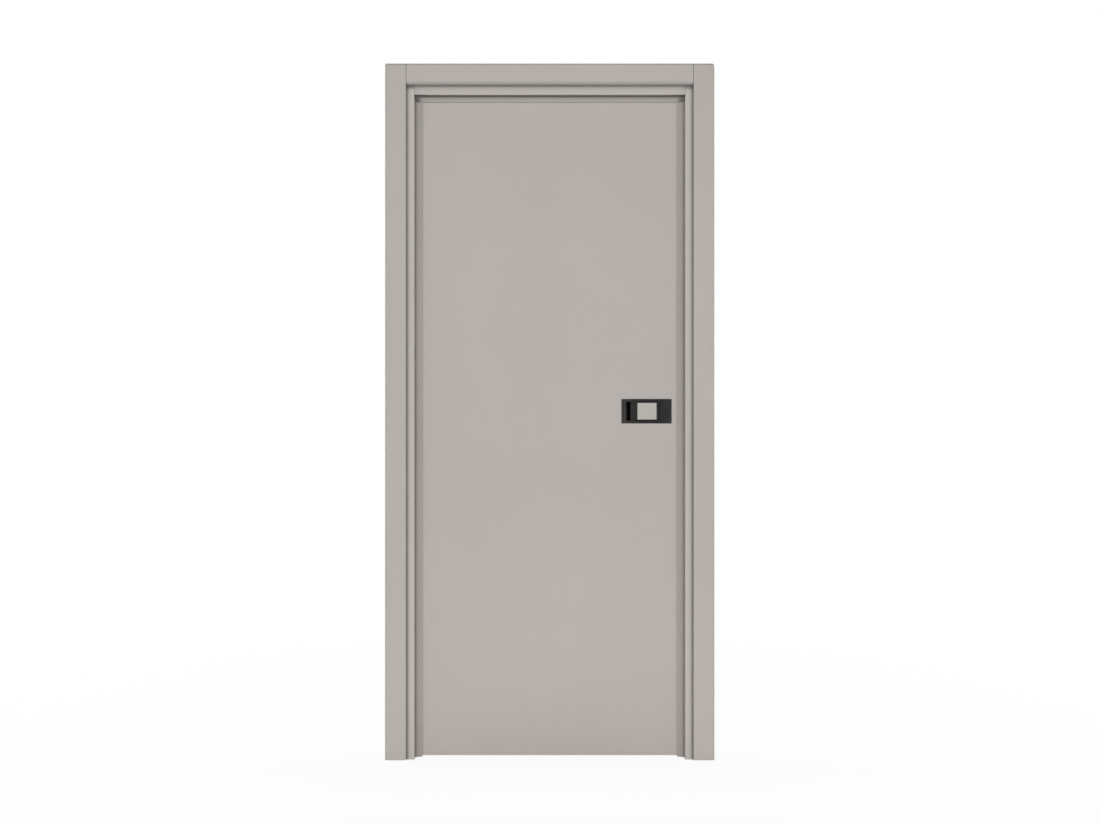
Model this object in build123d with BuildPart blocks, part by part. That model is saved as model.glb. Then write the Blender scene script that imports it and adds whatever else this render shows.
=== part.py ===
import os

from build123d import *

os.makedirs("parts", exist_ok=True)

# Prehung interior door, all sizes in millimetres.
# X runs to the viewer's right, Y runs away from the viewer through the wall, Z runs up.
# The origin lies on the wall side of the hinge jamb, at floor level, in the middle of the wall.

# Door leaf
LEAF_WIDTH = 826.0
LEAF_HEIGHT = 2044.0
LEAF_THICKNESS = 40.0
SKIN = 3.0
STILE_WIDTH = 45.0
TOP_RAIL_HEIGHT = 60.0
BOTTOM_RAIL_HEIGHT = 90.0
LOCK_BEVEL = 2.0
LEAF_EDGE_ROUND = 0.8
SIDE_GAP = 5.0
HEAD_GAP = 5.0
FLOOR_GAP = 3.0
CORE_GAP = 0.5

# Frame
JAMB_THICKNESS = 40.0
HEAD_THICKNESS = 40.0
JAMB_DEPTH = 84.0
JAMB_ARRIS = 1.0
STOP_WIDTH = 22.0
HEAD_STOP_HEIGHT = 15.5
STOP_DEPTH = 12.0
STOP_NOSE = 2.5
STOP_LAND = 2.0
SEAL_WIDTH = 6.0
SEAL_FROM_WALL = 5.0
SEAL_KERF = 3.0
SEAL_STAND = 1.2
SEAL_BEVEL = 1.0
SEAL_GAP = 0.3

# Casings
CASING_WIDTH = 65.0
HEAD_CASING_HEIGHT = 66.5
CASING_THICKNESS = 9.0
SIDE_REVEAL = 25.0
HEAD_REVEAL = 29.0
CASING_EDGE_ROUND = 8.0
CASING_INNER_ROUND = 1.0
HEAD_CASING_NOSE_HEIGHT = 12.0
HEAD_CASING_NOSE_DEPTH = 5.5
CASING_CORNER_ROUND = 8.5
HEAD_CASING_END_BEVEL = 1.4
LEG_INSET = 3.0
LEG_THICKNESS = 4.0
LEG_LENGTH = 12.0
LEG_FIT = 0.2

# Butt hinges
HINGE_HEIGHT = 100.0
HINGE_PLATE_DEPTH = 30.0
HINGE_PLATE_THICKNESS = 2.5
HINGE_FROM_TOP = 200.0
HINGE_FROM_BOTTOM = 230.0
KNUCKLE_COUNT = 5
KNUCKLE_RADIUS = 6.0
KNUCKLE_GAP = 0.3
PIN_RADIUS = 3.0
PIN_FIT = 0.05
PIN_OUT = 7.0
PIN_CAP_HEIGHT = 3.0
PIN_CAP_TIP_RADIUS = 4.2
MORTISE_FIT = 0.2

# Latch and strike
FOREND_HEIGHT = 160.0
FOREND_WIDTH = 22.0
FOREND_THICKNESS = 2.5
FOREND_CORNER = 3.0
LATCH_HEIGHT = 34.0
LATCH_WIDTH = 13.0
LATCH_DEPTH = 14.0
LATCH_FIT = 0.3
STRIKE_HEIGHT = 100.0
STRIKE_WIDTH = 24.0
STRIKE_THICKNESS = 2.0
STRIKE_POCKET_DEPTH = 12.0

# Flush handle
HANDLE_CENTRE_HEIGHT = 1075.0
HANDLE_EDGE_SETBACK = 33.5
PLATE_WIDTH = 156.0
PLATE_HEIGHT = 76.0
PLATE_PROUD = 2.5
PLATE_CORNER = 1.5
PLATE_EDGE_BEVEL = 0.8
SLOT_FROM_LEFT = 15.0
SLOT_WIDTH = 12.5
PADDLE_WIDTH = 89.0
PADDLE_HEIGHT = 56.0
PADDLE_THICKNESS = 3.5
PADDLE_GAP = 1.5
PADDLE_LIP_ROUND = 1.2
CUP_DEPTH = 14.0
CUP_WALL = 1.5
CUP_FIT = 0.3
TILE_WIDTH = 59.0
TILE_HEIGHT = 51.5
TILE_FROM_PIVOT_END = 7.5
TILE_THICKNESS = 1.2
TILE_LINE = 1.2
TILE_CORNER = 0.6
PADDLE_BARREL_RADIUS = 2.4
PADDLE_PIN_RADIUS = 1.0
PADDLE_PIN_FROM_END = 3.0
PADDLE_PIN_BEHIND_FACE = 2.6
LOCK_BLOCK_WIDTH = 190.0
LOCK_BLOCK_HEIGHT = 240.0

# Places that follow from the sizes above
OPENING_LEFT = JAMB_THICKNESS
OPENING_RIGHT = OPENING_LEFT + SIDE_GAP + LEAF_WIDTH + SIDE_GAP
OPENING_TOP = FLOOR_GAP + LEAF_HEIGHT + HEAD_GAP
JAMB_TOP = OPENING_TOP + HEAD_THICKNESS
CENTRE_X = (OPENING_LEFT + OPENING_RIGHT) / 2
FRAME_FRONT = -JAMB_DEPTH / 2
FRAME_BACK = JAMB_DEPTH / 2
LEAF_LEFT = OPENING_LEFT + SIDE_GAP
LEAF_RIGHT = LEAF_LEFT + LEAF_WIDTH
LEAF_BOTTOM = FLOOR_GAP
LEAF_TOP = LEAF_BOTTOM + LEAF_HEIGHT
LEAF_BACK = FRAME_BACK
LEAF_FRONT = LEAF_BACK - LEAF_THICKNESS
STOP_BACK = LEAF_FRONT - SEAL_GAP - SEAL_STAND
STOP_FRONT = STOP_BACK - STOP_DEPTH
PIN_X = OPENING_LEFT + SIDE_GAP / 2
PIN_Y = LEAF_BACK + PIN_OUT
HINGE_HEIGHTS = {
    "top": LEAF_TOP - HINGE_FROM_TOP,
    "middle": (LEAF_TOP - HINGE_FROM_TOP + LEAF_BOTTOM + HINGE_FROM_BOTTOM) / 2,
    "bottom": LEAF_BOTTOM + HINGE_FROM_BOTTOM,
}
CASING_BOTTOM = OPENING_TOP + HEAD_REVEAL
CASING_TOP = CASING_BOTTOM + HEAD_CASING_HEIGHT
PLATE_RIGHT = LEAF_RIGHT - HANDLE_EDGE_SETBACK
PLATE_LEFT = PLATE_RIGHT - PLATE_WIDTH
PADDLE_LEFT = PLATE_LEFT + SLOT_FROM_LEFT + SLOT_WIDTH
PADDLE_RIGHT = PADDLE_LEFT + PADDLE_WIDTH

# Two places closer than this are the same place when edges are picked.
SAME_PLACE = 0.01


def same(first, second):
    """Whether two places along one axis are the same."""
    return abs(first - second) < SAME_PLACE


def keep(piece, name):
    """Name a finished piece and write its file."""
    piece.part.label = name
    export_step(piece.part, f"parts/{name}.step")


def edge_x(y):
    """X of the bevelled lock edge of the leaf at the depth y."""
    return LEAF_RIGHT - LOCK_BEVEL * (LEAF_BACK - y) / LEAF_THICKNESS


def cut_hinges(x):
    """Let three hinge plates into the piece being built, at the given X."""
    y = LEAF_BACK - HINGE_PLATE_DEPTH / 2
    with Locations(*[(x, y, z) for z in HINGE_HEIGHTS.values()]):
        Box(
            HINGE_PLATE_THICKNESS,
            HINGE_PLATE_DEPTH + 2 * MORTISE_FIT,
            HINGE_HEIGHT + 2 * MORTISE_FIT,
            mode=Mode.SUBTRACT,
        )


# Jambs: a board with one groove in its front edge and one in its back edge for the casing legs.
def groove_place(inner_edge, direction, side):
    """Centre of one casing groove, across the board and through the wall."""
    across = inner_edge + direction * (LEG_INSET + LEG_THICKNESS / 2)
    through = side * (JAMB_DEPTH / 2 - (LEG_LENGTH + LEG_FIT) / 2)
    return across, through


def side_jamb(name, inner_face, outward):
    with BuildPart() as jamb:
        with BuildSketch(Plane.XY):
            with Locations((inner_face + outward * JAMB_THICKNESS / 2, 0)):
                Rectangle(JAMB_THICKNESS, JAMB_DEPTH)
            for side in (-1, 1):
                across, through = groove_place(inner_face + outward * SIDE_REVEAL, outward, side)
                with Locations((across, through)):
                    Rectangle(LEG_THICKNESS + 2 * LEG_FIT, LEG_LENGTH + LEG_FIT, mode=Mode.SUBTRACT)
        extrude(amount=JAMB_TOP)
        corners = jamb.edges().filter_by(Axis.Z).filter_by(lambda e: same(e.center().X, inner_face))
        chamfer(corners, length=JAMB_ARRIS)
        if outward < 0:
            cut_hinges(OPENING_LEFT - HINGE_PLATE_THICKNESS / 2)
        else:
            middle = (LEAF_FRONT + LEAF_BACK) / 2
            with Locations((OPENING_RIGHT + STRIKE_THICKNESS / 2, middle, HANDLE_CENTRE_HEIGHT)):
                Box(
                    STRIKE_THICKNESS,
                    STRIKE_WIDTH + 2 * MORTISE_FIT,
                    STRIKE_HEIGHT + 2 * MORTISE_FIT,
                    mode=Mode.SUBTRACT,
                )
            pocket = STRIKE_THICKNESS + STRIKE_POCKET_DEPTH
            with Locations((OPENING_RIGHT + pocket / 2, middle, HANDLE_CENTRE_HEIGHT)):
                Box(pocket, LATCH_WIDTH, LATCH_HEIGHT, mode=Mode.SUBTRACT)
    keep(jamb, name)


side_jamb("hinge_jamb", OPENING_LEFT, -1)
side_jamb("strike_jamb", OPENING_RIGHT, 1)

with BuildPart() as head_jamb:
    with BuildSketch(Plane.YZ.offset(OPENING_LEFT)):
        with Locations((0, OPENING_TOP + HEAD_THICKNESS / 2)):
            Rectangle(JAMB_DEPTH, HEAD_THICKNESS)
        for side in (-1, 1):
            across, through = groove_place(CASING_BOTTOM, 1, side)
            with Locations((through, across)):
                Rectangle(LEG_LENGTH + LEG_FIT, LEG_THICKNESS + 2 * LEG_FIT, mode=Mode.SUBTRACT)
    extrude(amount=OPENING_RIGHT - OPENING_LEFT)
    shown_faces = [head_jamb.faces().sort_by(Axis.Y)[0], head_jamb.faces().sort_by(Axis.Y)[-1]]
    end_edges = []
    for shown_face in shown_faces:
        end_edges += shown_face.edges().filter_by(Axis.Z)
    chamfer(end_edges, length=JAMB_ARRIS)
keep(head_jamb, "head_jamb")


# Stops: splayed strips planted on the jambs, thick at the jamb and thin at the nose.
# Each has a kerf in its back that holds a soft seal for the closed leaf.
def stop_outline(width):
    """Corners of a stop, as distance from its jamb and place through the wall."""
    return [
        (0, STOP_BACK),
        (width, STOP_BACK),
        (width, STOP_BACK - STOP_NOSE),
        (STOP_LAND, STOP_FRONT),
        (0, STOP_FRONT),
    ]


def side_stop(name, wall, inward):
    with BuildPart() as stop:
        with BuildSketch(Plane.XY):
            with BuildLine():
                Polyline(*[(wall + inward * d, y) for d, y in stop_outline(STOP_WIDTH)], close=True)
            make_face()
            with Locations((wall + inward * (SEAL_FROM_WALL + SEAL_WIDTH / 2), STOP_BACK - SEAL_KERF / 2)):
                Rectangle(SEAL_WIDTH, SEAL_KERF, mode=Mode.SUBTRACT)
        extrude(amount=OPENING_TOP - HEAD_STOP_HEIGHT)
    keep(stop, name)


side_stop("hinge_stop", OPENING_LEFT, 1)
side_stop("strike_stop", OPENING_RIGHT, -1)

with BuildPart() as head_stop:
    with BuildSketch(Plane.YZ.offset(OPENING_LEFT)):
        with BuildLine():
            Polyline(*[(y, OPENING_TOP - d) for d, y in stop_outline(HEAD_STOP_HEIGHT)], close=True)
        make_face()
        with Locations((STOP_BACK - SEAL_KERF / 2, OPENING_TOP - SEAL_FROM_WALL - SEAL_WIDTH / 2)):
            Rectangle(SEAL_KERF, SEAL_WIDTH, mode=Mode.SUBTRACT)
    extrude(amount=OPENING_RIGHT - OPENING_LEFT)
keep(head_stop, "head_stop")

# Seals: soft strips that fill the kerfs and stand proud of the stops.
SEAL_DEPTH = SEAL_KERF + SEAL_STAND
SEAL_Y = STOP_BACK - SEAL_KERF + SEAL_DEPTH / 2


def side_seal(name, wall, inward):
    with BuildPart() as seal:
        with BuildSketch(Plane.XY) as profile:
            with Locations((wall + inward * (SEAL_FROM_WALL + SEAL_WIDTH / 2), SEAL_Y)):
                Rectangle(SEAL_WIDTH, SEAL_DEPTH)
            chamfer(profile.vertices().sort_by(Axis.Y)[-2:], length=SEAL_BEVEL)
        extrude(amount=OPENING_TOP - HEAD_STOP_HEIGHT)
    keep(seal, name)


side_seal("hinge_side_seal", OPENING_LEFT, 1)
side_seal("strike_side_seal", OPENING_RIGHT, -1)

with BuildPart() as head_seal:
    with BuildSketch(Plane.YZ.offset(OPENING_LEFT)) as seal_profile:
        with Locations((SEAL_Y, OPENING_TOP - SEAL_FROM_WALL - SEAL_WIDTH / 2)):
            Rectangle(SEAL_DEPTH, SEAL_WIDTH)
        chamfer(seal_profile.vertices().sort_by(Axis.X)[-2:], length=SEAL_BEVEL)
    extrude(amount=OPENING_RIGHT - OPENING_LEFT)
keep(head_seal, "head_seal")


# Casings: flat boards with a rounded outer edge and a leg that slides into the jamb groove.
def side_casing(name, inner_edge, outward, side, round_corner):
    face = side * JAMB_DEPTH / 2
    outer_face = face + side * CASING_THICKNESS
    with BuildPart() as casing:
        with Locations((inner_edge + outward * CASING_WIDTH / 2, (face + outer_face) / 2, CASING_TOP / 2)):
            Box(CASING_WIDTH, CASING_THICKNESS, CASING_TOP)
        if round_corner:
            upper = casing.edges().filter_by(Axis.Y).filter_by(lambda e: same(e.center().Z, CASING_TOP))
            corner = upper.filter_by(lambda e: not same(e.center().X, inner_edge))
            fillet(corner, radius=CASING_CORNER_ROUND)
        shown = casing.edges().filter_by(lambda e: same(e.center().Y, outer_face))
        rounded = shown.filter_by(lambda e: not same(e.center().X, inner_edge) and e.center().Z > SAME_PLACE)
        fillet(rounded, radius=CASING_EDGE_ROUND)
        inner_long = casing.edges().filter_by(Axis.Z).filter_by(
            lambda e: same(e.center().X, inner_edge) and same(e.center().Y, outer_face)
        )
        fillet(inner_long, radius=CASING_INNER_ROUND)
        leg_x = inner_edge + outward * (LEG_INSET + LEG_THICKNESS / 2)
        with Locations((leg_x, face - side * LEG_LENGTH / 2, JAMB_TOP / 2)):
            Box(LEG_THICKNESS, LEG_LENGTH, JAMB_TOP)
    keep(casing, name)


def head_casing(name, side):
    """A casing whose lower edge is a soft nose, an arc that leaves a small step at the jamb."""
    face = side * JAMB_DEPTH / 2
    outer_face = face + side * CASING_THICKNESS
    nose_foot = outer_face - side * HEAD_CASING_NOSE_DEPTH
    nose_top = CASING_BOTTOM + HEAD_CASING_NOSE_HEIGHT
    with BuildPart() as casing:
        with BuildSketch(Plane.YZ.offset(OPENING_LEFT - SIDE_REVEAL)) as profile:
            with BuildLine():
                TangentArc((outer_face, nose_top), (nose_foot, CASING_BOTTOM), tangent=(0, -1))
                Polyline(
                    (outer_face, nose_top),
                    (outer_face, CASING_TOP),
                    (face, CASING_TOP),
                    (face, CASING_BOTTOM),
                    (nose_foot, CASING_BOTTOM),
                )
            make_face()
            top_corner = profile.vertices().filter_by(
                lambda v: same(v.X, outer_face) and same(v.Y, CASING_TOP)
            )
            fillet(top_corner, radius=CASING_EDGE_ROUND)
        extrude(amount=OPENING_RIGHT - OPENING_LEFT + 2 * SIDE_REVEAL)
        end_edges = casing.edges().filter_by(Axis.Z).filter_by(lambda e: same(e.center().Y, outer_face))
        chamfer(end_edges, length=HEAD_CASING_END_BEVEL)
        leg_z = CASING_BOTTOM + LEG_INSET + LEG_THICKNESS / 2
        with Locations((CENTRE_X, face - side * LEG_LENGTH / 2, leg_z)):
            Box(OPENING_RIGHT - OPENING_LEFT, LEG_LENGTH, LEG_THICKNESS)
    keep(casing, name)


for side_name, side in (("front", -1), ("back", 1)):
    side_casing(f"{side_name}_hinge_side_casing", OPENING_LEFT - SIDE_REVEAL, -1, side, False)
    side_casing(f"{side_name}_strike_side_casing", OPENING_RIGHT + SIDE_REVEAL, 1, side, True)
    head_casing(f"{side_name}_head_casing", side)


# Hinges: two plates let in flush, with knuckles that take turns along the pin.
def hinge_half(name, z_mid, on_door):
    out = 1 if on_door else -1
    plate_face = PIN_X + out * SIDE_GAP / 2
    plate_x = plate_face + out * HINGE_PLATE_THICKNESS / 2
    step = HINGE_HEIGHT / KNUCKLE_COUNT
    own = range(1, KNUCKLE_COUNT, 2) if on_door else range(0, KNUCKLE_COUNT, 2)
    centres = [z_mid - HINGE_HEIGHT / 2 + step * (n + 0.5) for n in own]
    with BuildPart() as half:
        with Locations((plate_x, LEAF_BACK - HINGE_PLATE_DEPTH / 2, z_mid)):
            Box(HINGE_PLATE_THICKNESS, HINGE_PLATE_DEPTH, HINGE_HEIGHT)
        with Locations(*[(plate_x, (LEAF_BACK + PIN_Y) / 2, z) for z in centres]):
            Box(HINGE_PLATE_THICKNESS, PIN_OUT, step - KNUCKLE_GAP)
        with Locations(*[(PIN_X, PIN_Y, z) for z in centres]):
            Cylinder(KNUCKLE_RADIUS, step - KNUCKLE_GAP)
        with Locations((PIN_X, PIN_Y, z_mid)):
            Cylinder(PIN_RADIUS + PIN_FIT, HINGE_HEIGHT, mode=Mode.SUBTRACT)
    keep(half, name)


def hinge_pin(name, z_mid):
    with BuildPart() as pin:
        with Locations((PIN_X, PIN_Y, z_mid)):
            Cylinder(PIN_RADIUS, HINGE_HEIGHT)
        cap_z = (HINGE_HEIGHT + PIN_CAP_HEIGHT) / 2
        with Locations((PIN_X, PIN_Y, z_mid + cap_z)):
            Cone(KNUCKLE_RADIUS, PIN_CAP_TIP_RADIUS, PIN_CAP_HEIGHT)
        with Locations((PIN_X, PIN_Y, z_mid - cap_z)):
            Cone(PIN_CAP_TIP_RADIUS, KNUCKLE_RADIUS, PIN_CAP_HEIGHT)
    keep(pin, name)


for place, height in HINGE_HEIGHTS.items():
    hinge_half(f"{place}_hinge_frame_plate", height, False)
    hinge_half(f"{place}_hinge_door_plate", height, True)
    hinge_pin(f"{place}_hinge_pin", height)


# Leaf: two skins over stiles, rails, a lock block and a light core.
POCKET_WIDTH = PADDLE_RIGHT + PADDLE_GAP - PLATE_LEFT - SLOT_FROM_LEFT + 2 * (CUP_WALL + CUP_FIT)
POCKET_HEIGHT = PADDLE_HEIGHT + 2 * (PADDLE_GAP + CUP_WALL + CUP_FIT)
POCKET_X = (PLATE_LEFT + SLOT_FROM_LEFT + PADDLE_RIGHT + PADDLE_GAP) / 2
HINGE_CUT_X = LEAF_LEFT + HINGE_PLATE_THICKNESS / 2
FOREND_Y = (LEAF_FRONT + LEAF_BACK) / 2
EDGE_PLANE = Plane(
    origin=(edge_x(FOREND_Y), FOREND_Y, HANDLE_CENTRE_HEIGHT),
    x_dir=(LOCK_BEVEL, LEAF_THICKNESS, 0),
    z_dir=(LEAF_THICKNESS, -LOCK_BEVEL, 0),
)


def skin(name, near, far, shown):
    with BuildPart() as sheet:
        with BuildSketch(Plane.XY.offset(LEAF_BOTTOM)):
            with BuildLine():
                Polyline(
                    (LEAF_LEFT, near),
                    (edge_x(near), near),
                    (edge_x(far), far),
                    (LEAF_LEFT, far),
                    close=True,
                )
            make_face()
        extrude(amount=LEAF_HEIGHT)
        face_edges = sheet.edges().filter_by(lambda e: same(e.center().Y, shown))
        fillet(face_edges, radius=LEAF_EDGE_ROUND)
        with Locations((POCKET_X, (near + far) / 2, HANDLE_CENTRE_HEIGHT)):
            Box(POCKET_WIDTH, SKIN, POCKET_HEIGHT, mode=Mode.SUBTRACT)
        if shown > near:
            cut_hinges(HINGE_CUT_X)
    keep(sheet, name)


skin("front_skin", LEAF_FRONT, LEAF_FRONT + SKIN, LEAF_FRONT)
skin("back_skin", LEAF_BACK - SKIN, LEAF_BACK, LEAF_BACK)

INNER_FRONT = LEAF_FRONT + SKIN
INNER_BACK = LEAF_BACK - SKIN
INNER_DEPTH = INNER_BACK - INNER_FRONT
INNER_Y = (INNER_FRONT + INNER_BACK) / 2
BETWEEN_STILES = LEAF_WIDTH - 2 * STILE_WIDTH
RAIL_X = LEAF_LEFT + LEAF_WIDTH / 2

with BuildPart() as hinge_stile:
    with Locations((LEAF_LEFT + STILE_WIDTH / 2, INNER_Y, LEAF_BOTTOM + LEAF_HEIGHT / 2)):
        Box(STILE_WIDTH, INNER_DEPTH, LEAF_HEIGHT)
    cut_hinges(HINGE_CUT_X)
keep(hinge_stile, "hinge_stile")

with BuildPart() as lock_stile:
    with BuildSketch(Plane.XY.offset(LEAF_BOTTOM)):
        with BuildLine():
            Polyline(
                (LEAF_RIGHT - STILE_WIDTH, INNER_FRONT),
                (edge_x(INNER_FRONT), INNER_FRONT),
                (edge_x(INNER_BACK), INNER_BACK),
                (LEAF_RIGHT - STILE_WIDTH, INNER_BACK),
                close=True,
            )
        make_face()
    extrude(amount=LEAF_HEIGHT)
    with BuildSketch(EDGE_PLANE):
        Rectangle(FOREND_WIDTH + 2 * MORTISE_FIT, FOREND_HEIGHT + 2 * MORTISE_FIT)
    extrude(amount=-FOREND_THICKNESS, mode=Mode.SUBTRACT)
    with BuildSketch(EDGE_PLANE):
        Rectangle(LATCH_WIDTH + 2 * LATCH_FIT, LATCH_HEIGHT + 2 * LATCH_FIT)
    extrude(amount=-LATCH_DEPTH, mode=Mode.SUBTRACT)
    with Locations((POCKET_X, INNER_Y, HANDLE_CENTRE_HEIGHT)):
        Box(POCKET_WIDTH, INNER_DEPTH, POCKET_HEIGHT, mode=Mode.SUBTRACT)
keep(lock_stile, "lock_stile")

with BuildPart() as lock_block:
    with Locations((LEAF_RIGHT - STILE_WIDTH - LOCK_BLOCK_WIDTH / 2, INNER_Y, HANDLE_CENTRE_HEIGHT)):
        Box(LOCK_BLOCK_WIDTH, INNER_DEPTH, LOCK_BLOCK_HEIGHT)
    with Locations((POCKET_X, INNER_Y, HANDLE_CENTRE_HEIGHT)):
        Box(POCKET_WIDTH, INNER_DEPTH, POCKET_HEIGHT, mode=Mode.SUBTRACT)
keep(lock_block, "lock_block")

with BuildPart() as top_rail:
    with Locations((RAIL_X, INNER_Y, LEAF_TOP - TOP_RAIL_HEIGHT / 2)):
        Box(BETWEEN_STILES, INNER_DEPTH, TOP_RAIL_HEIGHT)
keep(top_rail, "top_rail")

with BuildPart() as bottom_rail:
    with Locations((RAIL_X, INNER_Y, LEAF_BOTTOM + BOTTOM_RAIL_HEIGHT / 2)):
        Box(BETWEEN_STILES, INNER_DEPTH, BOTTOM_RAIL_HEIGHT)
keep(bottom_rail, "bottom_rail")

CORE_BOTTOM = LEAF_BOTTOM + BOTTOM_RAIL_HEIGHT
CORE_TOP = LEAF_TOP - TOP_RAIL_HEIGHT
with BuildPart() as leaf_core:
    with Locations((RAIL_X, INNER_Y, (CORE_BOTTOM + CORE_TOP) / 2)):
        Box(BETWEEN_STILES, INNER_DEPTH, CORE_TOP - CORE_BOTTOM)
    with Locations((LEAF_RIGHT - STILE_WIDTH - LOCK_BLOCK_WIDTH / 2, INNER_Y, HANDLE_CENTRE_HEIGHT)):
        Box(
            LOCK_BLOCK_WIDTH + 2 * CORE_GAP,
            INNER_DEPTH,
            LOCK_BLOCK_HEIGHT + 2 * CORE_GAP,
            mode=Mode.SUBTRACT,
        )
keep(leaf_core, "leaf_core")

# Latch forend in the lock edge, with the magnetic latch flush in its window.
with BuildPart() as lock_forend:
    with BuildSketch(EDGE_PLANE) as forend_outline:
        Rectangle(FOREND_WIDTH, FOREND_HEIGHT)
        fillet(forend_outline.vertices(), radius=FOREND_CORNER)
        Rectangle(LATCH_WIDTH + 2 * LATCH_FIT, LATCH_HEIGHT + 2 * LATCH_FIT, mode=Mode.SUBTRACT)
    extrude(amount=-FOREND_THICKNESS)
keep(lock_forend, "lock_forend")

with BuildPart() as latch_bolt:
    with BuildSketch(EDGE_PLANE):
        Rectangle(LATCH_WIDTH, LATCH_HEIGHT)
    extrude(amount=-LATCH_DEPTH)
keep(latch_bolt, "magnetic_latch")

with BuildPart() as strike_plate:
    with BuildSketch(Plane.YZ.offset(OPENING_RIGHT)) as strike_outline:
        with Locations((FOREND_Y, HANDLE_CENTRE_HEIGHT)):
            Rectangle(STRIKE_WIDTH, STRIKE_HEIGHT)
        fillet(strike_outline.vertices(), radius=FOREND_CORNER)
        with Locations((FOREND_Y, HANDLE_CENTRE_HEIGHT)):
            Rectangle(LATCH_WIDTH, LATCH_HEIGHT, mode=Mode.SUBTRACT)
    extrude(amount=STRIKE_THICKNESS)
keep(strike_plate, "strike_plate")


# Flush handles, one on each face of the leaf.
RECESS_LEFT = PLATE_LEFT + SLOT_FROM_LEFT
RECESS_RIGHT = PADDLE_RIGHT + PADDLE_GAP
RECESS_WIDTH = RECESS_RIGHT - RECESS_LEFT
RECESS_HEIGHT = PADDLE_HEIGHT + 2 * PADDLE_GAP
RECESS_X = (RECESS_LEFT + RECESS_RIGHT) / 2
PLATE_X = (PLATE_LEFT + PLATE_RIGHT) / 2
PADDLE_X = (PADDLE_LEFT + PADDLE_RIGHT) / 2
PADDLE_PIN_X = PADDLE_RIGHT - PADDLE_PIN_FROM_END
TILE_X = PADDLE_RIGHT - TILE_FROM_PIVOT_END - TILE_WIDTH / 2


def handle_set(side_name, face, out):
    """Make the plate with its cup, the paddle, its tile and its pin on one face of the leaf."""
    shown = face + out * PLATE_PROUD
    mid_plate = face + out * PLATE_PROUD / 2
    cup_back = face - out * CUP_DEPTH
    cup_y = (face + cup_back) / 2
    paddle_y = shown - out * PADDLE_THICKNESS / 2
    pin_y = shown - out * PADDLE_PIN_BEHIND_FACE
    outer_height = RECESS_HEIGHT + 2 * CUP_WALL
    with BuildPart() as plate:
        with Locations((PLATE_X, mid_plate, HANDLE_CENTRE_HEIGHT)):
            Box(PLATE_WIDTH, PLATE_PROUD, PLATE_HEIGHT)
        fillet(plate.edges().filter_by(Axis.Y), radius=PLATE_CORNER)
        rim = plate.edges().filter_by(lambda e: same(e.center().Y, shown))
        chamfer(rim, length=PLATE_EDGE_BEVEL)
        with Locations((RECESS_X, cup_y, HANDLE_CENTRE_HEIGHT)):
            Box(RECESS_WIDTH + 2 * CUP_WALL, CUP_DEPTH, outer_height)
        with Locations((RECESS_X, (shown + cup_back + out * CUP_WALL) / 2, HANDLE_CENTRE_HEIGHT)):
            Box(
                RECESS_WIDTH,
                CUP_DEPTH - CUP_WALL + PLATE_PROUD,
                RECESS_HEIGHT,
                mode=Mode.SUBTRACT,
            )
        with Locations((PADDLE_PIN_X, pin_y, HANDLE_CENTRE_HEIGHT)):
            Cylinder(PADDLE_PIN_RADIUS + PIN_FIT, outer_height, mode=Mode.SUBTRACT)
    keep(plate, f"{side_name}_handle_plate")
    with BuildPart() as pin:
        with Locations((PADDLE_PIN_X, pin_y, HANDLE_CENTRE_HEIGHT)):
            Cylinder(PADDLE_PIN_RADIUS, outer_height)
    keep(pin, f"{side_name}_paddle_pin")
    with BuildPart() as paddle:
        with Locations((PADDLE_X, paddle_y, HANDLE_CENTRE_HEIGHT)):
            Box(PADDLE_WIDTH, PADDLE_THICKNESS, PADDLE_HEIGHT)
        lip = paddle.edges().filter_by(Axis.Z).filter_by(lambda e: same(e.center().X, PADDLE_LEFT))
        fillet(lip, radius=PADDLE_LIP_ROUND)
        with Locations((PADDLE_PIN_X, pin_y, HANDLE_CENTRE_HEIGHT)):
            Cylinder(PADDLE_BARREL_RADIUS, PADDLE_HEIGHT)
            Cylinder(PADDLE_PIN_RADIUS + PIN_FIT, PADDLE_HEIGHT, mode=Mode.SUBTRACT)
        with Locations((TILE_X, shown - out * TILE_THICKNESS / 2, HANDLE_CENTRE_HEIGHT)):
            Box(
                TILE_WIDTH + 2 * TILE_LINE,
                TILE_THICKNESS,
                TILE_HEIGHT + 2 * TILE_LINE,
                mode=Mode.SUBTRACT,
            )
    keep(paddle, f"{side_name}_paddle")
    with BuildPart() as tile:
        with Locations((TILE_X, shown - out * TILE_THICKNESS / 2, HANDLE_CENTRE_HEIGHT)):
            Box(TILE_WIDTH, TILE_THICKNESS, TILE_HEIGHT)
        fillet(tile.edges().filter_by(Axis.Y), radius=TILE_CORNER)
    keep(tile, f"{side_name}_paddle_tile")


handle_set("front", LEAF_FRONT, -1)
handle_set("back", LEAF_BACK, 1)
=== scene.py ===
# %% [markdown]
# # A prehung interior door
#
# This scene dresses a flush interior door that hangs in its own frame: a plain greige leaf, jambs with
# stops, flat casings, three butt hinges on the far side and a black flush handle with a tile in the
# colour of the door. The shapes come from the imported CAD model. Here they get their finishes, their
# screws, a studio and a camera.

import math
import random
from functools import partial

import bmesh
import bpy
from mathutils import Matrix, Vector


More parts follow.
